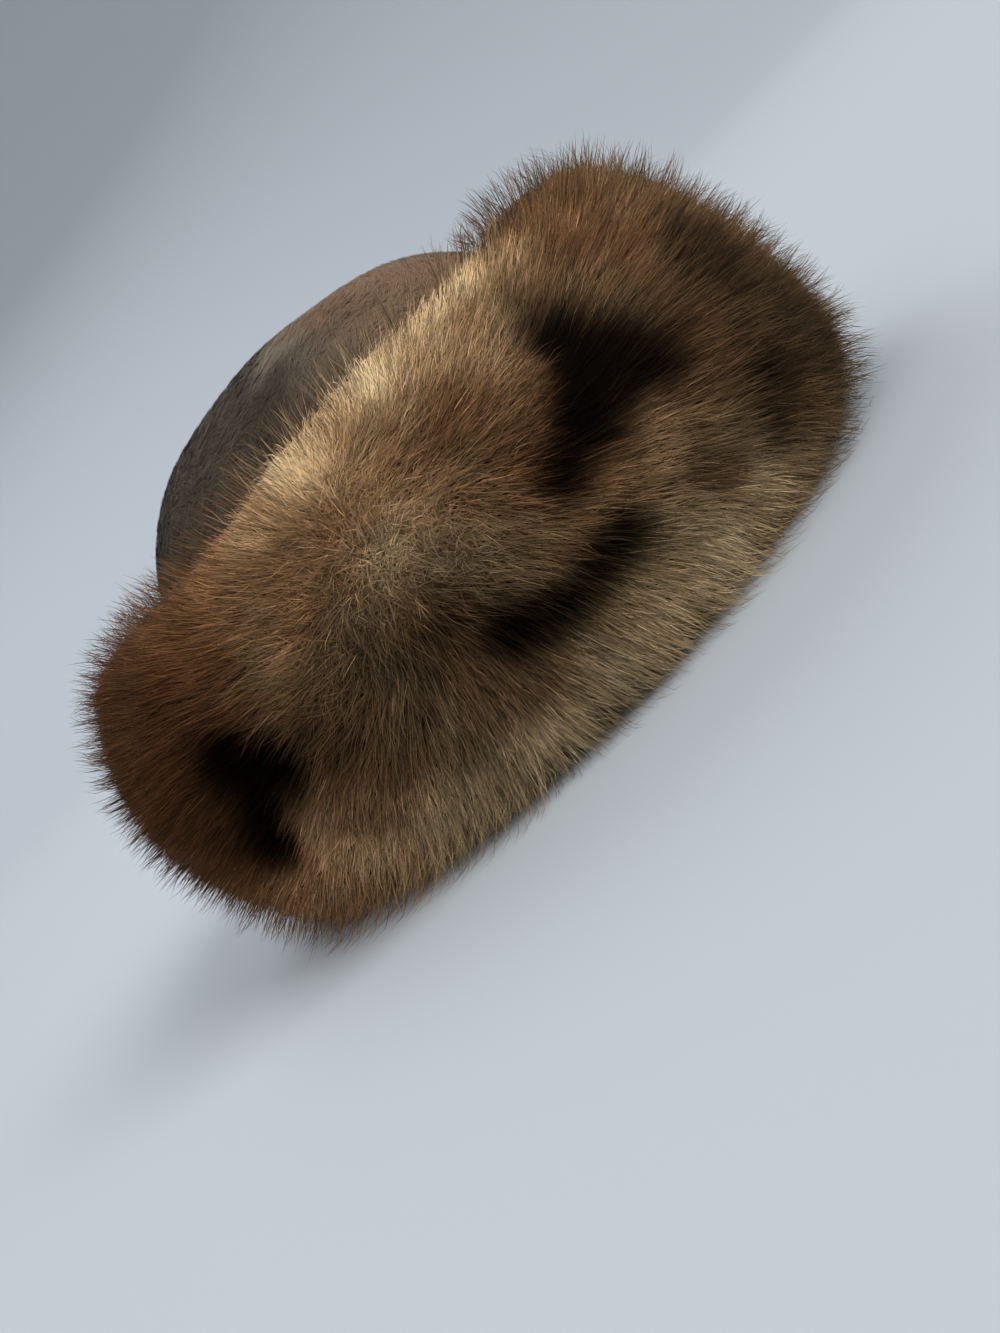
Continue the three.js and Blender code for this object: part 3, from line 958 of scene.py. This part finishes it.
def fur_strands(rng, shape, sector, count, kind, mean_length):
    """Points, normals, tone and warmth of one kind of strand on a quarter of the cuff."""

    def weight(grid_angle, grid_u, z):
        crest = 1 - blend(grid_u, *CREST_WEIGHT_U)
        _, _, tangled = fur_heading(grid_angle, z)
        share = np.where(grid_u > THIN_RIM_U, THIN_RIM_SHARE, 1.0) * (1 + TANGLE_SHARE * tangled)
        return share * (1 + (kind["on_crest"] - 1) * crest)

    stations = np.array(kind["stations"])
    angle, u = scatter(rng, shape, sector["start"], sector["end"], count, weight)
    point, _, _ = shape.surface(angle, u, np.zeros(count))
    x, y, messy = fur_heading(angle, point[:, 2])
    crest = 1 - blend(u, *CREST_HAIR_U)
    lean = 1 - TANGLE_SHORTER * messy
    length = mean_length * rng.uniform(*HAIR_LENGTHS, count) * lean
    length = length * (1 - kind["short_on_crest"] * crest)
    tip = kind["tip"] + kind["tip_spread"] * rng.random(count) ** TIP_POWER
    bow = rng.normal(0, kind["curl"], count) * (1 + messy)
    swing = rng.normal(0, kind["swing"], count) * (1 + 6 * messy**2)
    own = rotated(x, y, swing)
    root = np.full(count, kind["root"])
    stop = rng.random(count)
    points, normals, shades, seen = lay(
        shape, angle, u, own, length, root, tip, kind, bow, stop, lean
    )
    clump_tone = np.zeros(count)
    for cell, strength, salt in kind["clumps"]:
        mid_angle, mid_u, column, row = gathered(shape, angle, u, cell, salt)
        mid, _, _ = shape.surface(mid_angle, mid_u, np.zeros(count))
        mid_x, mid_y, _ = fur_heading(mid_angle, mid[:, 2])
        mid_bow = (cell_noise(column, row, salt + 2) - 0.5) * 0.6
        rise = cell_noise(column, row, salt + 3) ** TIP_POWER
        mid_tip = kind["tip"] + kind["tip_spread"] * rise
        size = CLUMP_LENGTHS[0] + CLUMP_LENGTHS[1] * cell_noise(column, row, salt + 4)
        mid_length = mean_length * size
        mid_stop = cell_noise(column, row, salt + 8)
        mid_way = (mid_x, mid_y)
        middle, _, _, _ = lay(
            shape, mid_angle, mid_u, mid_way, mid_length, root, mid_tip, kind, mid_bow,
            mid_stop, lean,
        )
        pull = strength * (0.4 + 0.6 * cell_noise(column, row, salt + 5)) * (1 - 0.8 * messy)
        share = pull[:, None] * stations[None, :] ** 1.2
        points = points + (middle - points) * share[..., None]
        clump_tone += (cell_noise(column, row, salt + 6) - 0.5) * 0.08
    points = shape.crown.push_out(points, CROWN_GAP)
    points = kept_in_box(rng, points)
    points[..., 2] = np.maximum(points[..., 2], FLOOR_GAP + 0.3 * rng.random(count)[:, None])
    place, _, _ = shape.surface(*seen, np.zeros(count))
    tone, warmth = fur_colour(seen[0], place[:, 2])
    evened = kind["even_tone"] * blend(tone, 0.1, 0.3) * (1 + kind["even_on_crest"] * crest)
    tone = tone + (GUARD_TONE - tone) * evened
    tone = tone * (1 + clump_tone)
    tone = tone * (1 + rng.normal(0, 3 * kind["tone_spread"], count))
    # Painted glints: a few hairs are lightened to stand in for highlights on glossy guard hairs
    tone = np.where(rng.random(count) < kind["glints"], tone * GLINT_GAIN + GLINT_LIFT, tone)
    warmth = warmth + rng.normal(0, 0.05, count)
    # The fade darkens each hair toward its root, partly its own colour and partly painted shade under
    # the coat, less so where the fur is tangled
    fade = np.array(kind["fade"])[None, :] + (0.4 * messy)[:, None] * (1 - stations)[None, :]
    # Painted shade of the folds, partly the fur's darker base: each hair takes a random share of it
    # at each of its stations
    shaded = rng.uniform(*kind["shaded"], (count, 1))
    dark = np.exp(-FOLD_SHADE * shaded * np.abs(shades) ** FOLD_SHADE_POWER)
    tones = np.maximum(tone[:, None] * dark, DARKEST_TONE) * fade
    warmths = np.repeat(warmth[:, None], len(stations), axis=1)
    return points, normals, tones, warmths


def add_node(tree, kind, inputs, **settings):
    """Add a node with its settings, and its inputs as values or as sockets to link from."""
    node = tree.nodes.new("ShaderNode" + kind)
    for name, value in settings.items():
        setattr(node, name, value)
    for socket, value in inputs.items():
        if isinstance(value, bpy.types.NodeSocket):
            tree.links.new(value, node.inputs[socket])
        else:
            node.inputs[socket].default_value = value
    return node


def combined_colour_group():
    """A node group that mixes a colour from a tone and a warmth."""
    name = "Coat colour"
    if name in bpy.data.node_groups:
        return bpy.data.node_groups[name]
    group = bpy.data.node_groups.new(name, "ShaderNodeTree")
    face = group.interface
    for socket in ("Tone", "Warmth"):
        face.new_socket(socket, in_out="INPUT", socket_type="NodeSocketFloat")
    for socket in MIXED_COLOURS:
        face.new_socket(socket, in_out="INPUT", socket_type="NodeSocketColor")
    face.new_socket("Color", in_out="OUTPUT", socket_type="NodeSocketColor")
    source = group.nodes.new("NodeGroupInput").outputs
    result = group.nodes.new("NodeGroupOutput")
    power = add_node(group, "Math", {0: source["Tone"], 1: TONE_POWER}, operation="POWER")

    def ranged(low, high):
        inputs = {"From Min": low, "From Max": high, "Value": power.outputs["Value"]}
        return add_node(group, "MapRange", inputs).outputs["Result"]

    def mixed(factor, first, second):
        inputs = {"Factor": factor, "A": first, "B": second}
        return add_node(group, "Mix", inputs, data_type="RGBA").outputs["Result"]

    middle_share = 0.5**TONE_POWER
    low = ranged(0.0, middle_share)
    high = ranged(middle_share, 1.0)
    middle = mixed(source["Warmth"], source["Cool Middle"], source["Warm Middle"])
    light = mixed(source["Warmth"], source["Cool Light"], source["Warm Light"])
    lower = mixed(low, source["Dark"], middle)
    group.links.new(mixed(high, lower, light), result.inputs["Color"])
    return group


def colour(value):
    """A colour with full alpha."""
    return (*value[:3], 1.0)


def palette(colours, names):
    """Colours of the settings by their names in the mixing group."""
    return {socket: colour(getattr(colours, name)) for socket, name in zip(MIXED_COLOURS, names)}


def plain_material(name, roughness, gloss):
    """A new material and its shader."""
    material = bpy.data.materials.new(name)
    material.use_nodes = True
    shader = material.node_tree.nodes["Principled BSDF"]
    shader.inputs["Roughness"].default_value = roughness
    shader.inputs["Specular IOR Level"].default_value = gloss
    return material, shader


def tint(tree, shader, colours, tone, warmth):
    """Colour a shader by a tone and a warmth."""
    inputs = {**colours, "Tone": tone, "Warmth": warmth}
    group = add_node(tree, "Group", inputs, node_tree=combined_colour_group())
    tree.links.new(group.outputs["Color"], shader.inputs["Base Color"])


def strand_material(name, colours, roughness, gloss):
    """A hair material that takes tone and warmth from the strands' map."""
    material, shader = plain_material(name, roughness, gloss)
    tree = material.node_tree
    # A strand seen from beneath is lit as the fur round it is
    geometry = add_node(tree, "NewGeometry", {}).outputs
    inputs = {0: geometry["Backfacing"], 1: -2.0, 2: 1.0}
    sign = add_node(tree, "Math", inputs, operation="MULTIPLY_ADD")
    inputs = {"Vector": geometry["Normal"], "Scale": sign.outputs["Value"]}
    outward = add_node(tree, "VectorMath", inputs, operation="SCALE")
    tree.links.new(outward.outputs["Vector"], shader.inputs["Normal"])
    place = add_node(tree, "UVMap", {}, uv_map=STRAND_MAP)
    parts = add_node(tree, "SeparateXYZ", {"Vector": place.outputs["UV"]}).outputs
    tint(tree, shader, colours, parts["X"], parts["Y"])
    return material


def backing_material(name, colours, tone, warmth, size, bump, roughness):
    """A felted surface: patches of colour, fine fibre and a soft bump on Object coordinates."""
    material, shader = plain_material(name, roughness, 0.1)
    tree = material.node_tree
    place = add_node(tree, "TexCoord", {}).outputs["Object"]
    inputs = {"Vector": place, "Scale": size, "Detail": 3.0}
    patches = add_node(tree, "TexNoise", inputs).outputs["Fac"]
    inputs = {"Vector": place, "Scale": FIBRE_SCALE, "Detail": 4.0}
    fibre = add_node(tree, "TexNoise", inputs).outputs["Fac"]

    def spread(value, low, high, results):
        inputs = {"Value": value, "From Min": low, "From Max": high}
        inputs.update({"To Min": results[0], "To Max": results[1]})
        return add_node(tree, "MapRange", inputs).outputs["Result"]

    tones = spread(fibre, 0.3, 0.7, tone)
    tint(tree, shader, colours, tones, spread(patches, 0.4, 0.6, warmth))
    inputs = {"Strength": bump, "Distance": FIBRE_DEPTH, "Height": fibre}
    rough = add_node(tree, "Bump", inputs)
    tree.links.new(rough.outputs["Normal"], shader.inputs["Normal"])
    return material


def spun(profile, steps, closed):
    """A bmesh of a profile of distances and heights, spun once round Z."""
    bm = bmesh.new()
    verts = [bm.verts.new((r, 0.0, z)) for r, z in profile]
    edges = [bm.edges.new(pair) for pair in zip(verts[:-1], verts[1:])]
    if closed:
        edges.append(bm.edges.new((verts[-1], verts[0])))
    bmesh.ops.spin(
        bm,
        geom=verts + edges,
        cent=(0, 0, 0),
        axis=(0, 0, 1),
        angle=2 * math.pi,
        steps=steps,
        use_merge=True,
        use_duplicate=False,
    )
    bmesh.ops.remove_doubles(bm, verts=bm.verts, dist=1e-5)
    bmesh.ops.recalc_face_normals(bm, faces=bm.faces)
    return bm


def finished(bm, name, material):
    """Make a bmesh a smooth-shaded piece of the scene."""
    for face in bm.faces:
        face.smooth = True
    mesh = bpy.data.meshes.new(name)
    bm.to_mesh(mesh)
    bm.free()
    mesh.materials.append(material)
    piece = bpy.data.objects.new(name, mesh)
    bpy.context.scene.collection.objects.link(piece)
    return piece


class HAT_OT_crown(bpy.types.Operator):
    """Make the crown's felt wall, open at the rim"""

    bl_idname = "hat.crown"
    bl_label = "Felt crown"

    def execute(self, context):
        scene = context.scene
        crown = CrownShape(scene.hat_form)
        top = crown.top - NAP_DEPTH
        profile = [(1.0, z / MM) for z in np.linspace(CROWN_RIM, DOME_START, 12)]
        for a in np.linspace(0, math.pi / 2, 34)[1:-1]:
            z = DOME_START + (top - DOME_START) * math.sin(a)
            profile.append((float(crown.closing(z, -NAP_DEPTH)), z / MM))
        profile.append((0.0, top / MM))
        bm = spun(profile, 128, False)
        length = (crown.length - NAP_DEPTH) / MM
        size = Matrix.Diagonal((length, (crown.width - NAP_DEPTH) / MM, 1, 1))
        bmesh.ops.transform(bm, matrix=size, verts=bm.verts)
        bmesh.ops.recalc_face_normals(bm, faces=bm.faces)
        for v in bm.verts:
            v.co.z += crown.lumps(np.array(v.co) * MM + [CROWN_CENTRE_X, 0, 0]) / MM
        bmesh.ops.solidify(bm, geom=bm.faces[:], thickness=crown.felt / MM)
        bmesh.ops.translate(bm, vec=(CROWN_CENTRE_X / MM, 0, 0), verts=bm.verts)
        colours = palette(scene.hat_colours, FELT_COLOURS)
        material = backing_material(
            "Brushed felt", colours, (0.1, 0.45), (0.1, 0.8), 28.0, 0.5, 0.9
        )
        piece = finished(bm, "felt_crown", material)
        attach(piece, "root")
        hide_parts("crown")
        return {"FINISHED"}


class HAT_OT_nap(bpy.types.Operator):
    """Brush the nap on the part of the crown that stands clear of the cuff"""

    bl_idname = "hat.nap"
    bl_label = "Felt nap"

    def execute(self, context):
        scene = context.scene
        crown = CrownShape(scene.hat_form)
        fur = scene.hat_fur
        count = fur.nap_strands
        rng = np.random.default_rng(fur.seed + 50)
        made = []
        while sum(len(m) for m in made) < count:
            # Even places over the plan are kept as often as the slope there asks
            p = rng.uniform(-1, 1, (count, 2))
            r = np.hypot(p[:, 0], p[:, 1])
            s = np.clip(1 - np.clip(r, 0, 1) ** DOME_POWER, 0, 1) ** (1 / DOME_POWER)
            z = DOME_START + (crown.top - DOME_START) * s
            steep = 1 + 1.3 * r**2 / np.maximum(s, 0.25)
            keep = (r < 1) & (z > NAP_FROM) & (rng.random(count) * 4.0 < steep)
            made.append(p[keep])
        p = np.concatenate(made)[:count]
        angle = np.arctan2(p[:, 1], p[:, 0])
        r = np.hypot(p[:, 0], p[:, 1])
        base, _ = crown.dome(angle, r, np.zeros(count))
        x, y = base[:, 0], base[:, 1]
        flat = base * np.array([1, 1, 0])
        way = angle + NAP_SWIRL + 0.4 * ripple(flat, "nap_way")
        way = way + 0.15 * ripple(flat, "nap_fine_way") + rng.normal(0, 0.22, count)
        length = rng.uniform(*NAP_LENGTH, count)
        lift = NAP_LIFT[0] + NAP_LIFT[1] * rng.random(count) ** 2
        points, normals = [], []
        for s in (0.0, 0.5, 1.0):
            turn = way + 0.35 * s * ripple(flat, "nap_turn")
            nx = (x - CROWN_CENTRE_X + np.cos(turn) * length * s) / crown.length
            ny = (y + np.sin(turn) * length * s) / crown.width
            height = lift * s**0.8 - NAP_ROOT
            there, direction = crown.dome(np.arctan2(ny, nx), np.hypot(nx, ny), height)
            points.append(there)
            normals.append(direction)
        points, normals = np.stack(points, 1), np.stack(normals, 1)
        stray_x = x + NAP_STRAY * ripple(flat, "nap_stray_x")
        stray_y = y + NAP_STRAY * ripple(flat, "nap_stray_y")

        def distance(row):
            return np.hypot(stray_x - row["x"], stray_y - row["y"])

        tone, warmth = table_mix(FELT_COAT, distance, FELT_REACH)
        mottle = 1 + 0.03 * ripple(flat, "nap_tone") + 0.015 * ripple(flat, "nap_fine_tone")
        tone = tone * mottle
        tone = tone * (1 + rng.normal(0, 0.045, count))
        warmth = warmth + 0.08 * ripple(flat, "nap_warmth") + rng.normal(0, 0.06, count)
        tones = tone[:, None] * np.array(NAP_FADE)[None, :]
        warmths = np.repeat(warmth[:, None], 3, axis=1)
        widths = np.repeat(np.array([[0.0, NAP_WIDTH, 0.0]]), count, axis=0)
        roll = rng.normal(0, 0.35, count)
        piece = ribbons("felt_nap", points, normals, widths, roll, tones, warmths)
        colours = palette(scene.hat_colours, FELT_COLOURS)
        material = strand_material("Felt nap", colours, 0.8, 0.1)
        piece.data.materials.append(material)
        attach(piece, "root")
        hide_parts("crown")
        return {"FINISHED"}


class HAT_OT_roll(bpy.types.Operator):
    """Make the padded roll that the cuff's fur grows from"""

    bl_idname = "hat.roll"
    bl_label = "Padded roll"

    def execute(self, context):
        scene = context.scene
        shape = CuffShape(scene.hat_form)
        profile = []
        at = np.linspace(0, 1, len(shape.back))
        mid = (shape.back + shape.front) / 2
        way = unit(shape.back_way + shape.front_way)
        for u in np.linspace(*ROLL_U, 60):
            t = float(np.interp(u, at, mid[:, 0]) + np.interp(u, at, way[:, 1]) * ROLL_DEPTH)
            z = float(np.interp(u, at, mid[:, 1]) - np.interp(u, at, way[:, 0]) * ROLL_DEPTH)
            profile.append(((SPUN_AT + t) / MM, z / MM))
        for z in np.linspace(*ROLL_INSIDE, 12):
            inner = ROLL_GAP + (float(shape.crown.closing(z)) - 1) * shape.crown.length
            profile.append(((SPUN_AT + inner) / MM, z / MM))
        bm = spun(profile, 160, True)
        co = np.array([v.co[:] for v in bm.verts]) * MM
        angle = np.arctan2(co[:, 1], co[:, 0])
        t = np.hypot(co[:, 0], co[:, 1]) - SPUN_AT
        point = shape.place(angle, t, co[:, 2])
        relief, _ = shape.relief(angle, point[:, 2])
        bm.normal_update()
        normal = np.array([v.normal[:] for v in bm.verts])
        outside = np.maximum(blend(t, *ROLL_OUT), blend(co[:, 2], *ROLL_UP))
        point += normal * (relief * outside)[:, None]
        point[:, 2] = np.maximum(point[:, 2], ROLL_FLOOR_GAP)
        for v, p in zip(bm.verts, point):
            v.co = p / MM
        bmesh.ops.recalc_face_normals(bm, faces=bm.faces)
        colours = palette(scene.hat_colours, FUR_COLOURS)
        material = backing_material("Fur skin", colours, (0.1, 0.26), (0.3, 0.8), 22.0, 0.8, 0.85)
        piece = finished(bm, "cuff_roll", material)
        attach(piece, "root")
        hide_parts("fur_cuff")
        return {"FINISHED"}


class HAT_OT_fur(bpy.types.Operator):
    """Grow the cuff's fur, a piece for each quarter of the hat"""

    bl_idname = "hat.fur"
    bl_label = "Cuff fur"

    def execute(self, context):
        scene = context.scene
        fur = scene.hat_fur
        shape = CuffShape(scene.hat_form)
        colours = palette(scene.hat_colours, FUR_COLOURS)
        material = strand_material("Fur", colours, 0.6, 0.01)
        wide = fur.strand_width * MM
        for k, sector in enumerate(SECTORS):
            rng = np.random.default_rng(fur.seed + k)
            made = []
            for kind, count, length in (
                (WOOL, fur.wool_strands, fur.wool_length * MM),
                (GUARD, fur.guard_strands, fur.guard_length * MM),
                (SPIKES, fur.guard_strands // 5, fur.guard_length * MM * SPIKE_LENGTH),
            ):
                points, normals, *map_values = fur_strands(rng, shape, sector, count, kind, length)
                thick = wide * rng.uniform(0.75, 1.2, count)
                sizes = thick[:, None] * np.array(kind["widths"])[None, :]
                roll = rng.normal(0, 0.4, count)
                made.append(ribbons("strands", points, normals, sizes, roll, *map_values))
            piece = joined(sector["name"], made)
            piece.data.materials.append(material)
            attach(piece, "root")
            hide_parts("fur_cuff")
        return {"FINISHED"}


def joined(name, pieces):
    """Join pieces into one object with a name."""
    bpy.ops.object.select_all(action="DESELECT")
    for piece in pieces:
        piece.select_set(True)
    bpy.context.view_layer.objects.active = pieces[0]
    bpy.ops.object.join()
    whole = bpy.context.view_layer.objects.active
    whole.name = name
    whole.data.name = name
    whole.select_set(False)
    return whole


class HAT_OT_stage(bpy.types.Operator):
    """Set the floor, the lights and the camera"""

    bl_idname = "hat.stage"
    bl_label = "Stage"

    def execute(self, context):
        scene = context.scene
        stage = scene.hat_stage
        profile = [(0.0, 0.0), *((r, 0.0) for r in FLOOR_FLAT)]
        for k in range(1, SWEEP_STEPS + 1):
            share = k / SWEEP_STEPS
            rise = SWEEP_RISE * share**SWEEP_POWER
            profile.append((FLOOR_FLAT[1] + SWEEP_REACH * share, rise))
        bm = spun(profile, 96, False)
        if min(bm.faces, key=lambda f: f.calc_center_median().z).normal.z < 0:
            bmesh.ops.reverse_faces(bm, faces=bm.faces)
        material, shader = plain_material("Pale floor", 0.75, 0.5)
        shader.inputs["Base Color"].default_value = colour(stage.floor_colour)
        floor = finished(bm, "floor", material)

        right = Vector(CAMERA_RIGHT)
        forward = Vector(CAMERA_FORWARD).normalized()
        right = (right - forward * right.dot(forward)).normalized()
        up = right.cross(forward)
        data = bpy.data.cameras.new("Camera")
        data.lens = stage.lens * MM
        data.sensor_width = 36.0
        data.clip_start = 0.01
        data.clip_end = 30.0
        camera = bpy.data.objects.new("Camera", data)
        turn = Matrix((right, up, -forward)).transposed()
        camera.matrix_world = turn.to_4x4()
        camera.location = CAMERA_PLACE
        scene.collection.objects.link(camera)
        scene.camera = camera

        def light(name, power, size, tint, way):
            lamp = bpy.data.lights.new(name, "AREA")
            lamp.energy = power
            lamp.size = size
            lamp.color = tint
            holder = bpy.data.objects.new(name, lamp)
            holder.visible_camera = False
            scene.collection.objects.link(holder)
            direction = Vector(way).normalized()
            holder.location = Vector(LIGHT_AIM) + direction * LIGHT_DISTANCE
            holder.rotation_mode = "QUATERNION"
            holder.rotation_quaternion = (-direction).to_track_quat("-Z", "Y")

        top = (up * 1.0 + right * 0.15 - forward * 0.75).normalized()
        side = (up * 0.35 - right * 1.0 - forward * 1.0).normalized()
        light("Key", stage.key_power, 5.4, (1.0, 0.98, 0.95), top)
        light("Fill", stage.fill_power, 7.2, (1.0, 0.93, 0.86), side)
        light("Front", stage.fill_power * 0.4, 4.0, (0.86, 0.93, 1.0), (1.0, -0.3, 0.65))
        light("Back", stage.fill_power * 0.9, 5.6, (0.95, 0.97, 1.0), (-0.45, 0.85, 0.9))
        world = bpy.data.worlds.new("Studio")
        world.use_nodes = True
        sky = world.node_tree.nodes["Background"]
        sky.inputs["Color"].default_value = SKY_COLOUR
        sky.inputs["Strength"].default_value = SKY_POWER
        scene.world = world
        scene.view_settings.view_transform = "Standard"
        return {"FINISHED"}


class HAT_PT_panel(bpy.types.Panel):
    """The hat's sizes and its pieces"""

    bl_idname = "HAT_PT_panel"
    bl_label = "Fur-trimmed hat"
    bl_space_type = "VIEW_3D"
    bl_region_type = "UI"
    bl_category = "Hat"

    def draw(self, context):
        layout = self.layout
        scene = context.scene
        for settings in (scene.hat_form, scene.hat_fur, scene.hat_colours, scene.hat_stage):
            box = layout.box()
            for name in settings.__annotations__:
                box.prop(settings, name)
        for operator in OPERATORS:
            layout.operator(operator.bl_idname)


GROUPS = (HatForm, HatFur, HatColours, HatStage)
OPERATORS = (HAT_OT_crown, HAT_OT_nap, HAT_OT_roll, HAT_OT_fur, HAT_OT_stage)


def register():
    for kind in (*GROUPS, *OPERATORS, HAT_PT_panel):
        bpy.utils.register_class(kind)
    bpy.types.Scene.hat_form = PointerProperty(type=HatForm)
    bpy.types.Scene.hat_fur = PointerProperty(type=HatFur)
    bpy.types.Scene.hat_colours = PointerProperty(type=HatColours)
    bpy.types.Scene.hat_stage = PointerProperty(type=HatStage)


def unregister():
    del bpy.types.Scene.hat_stage
    del bpy.types.Scene.hat_colours
    del bpy.types.Scene.hat_fur
    del bpy.types.Scene.hat_form
    for kind in (HAT_PT_panel, *reversed(OPERATORS), *reversed(GROUPS)):
        bpy.utils.unregister_class(kind)


def main():
    register()
    bpy.ops.hat.stage()
    bpy.ops.hat.crown()
    bpy.ops.hat.nap()
    bpy.ops.hat.roll()
    bpy.ops.hat.fur()


if __name__ == "__main__":
    main()
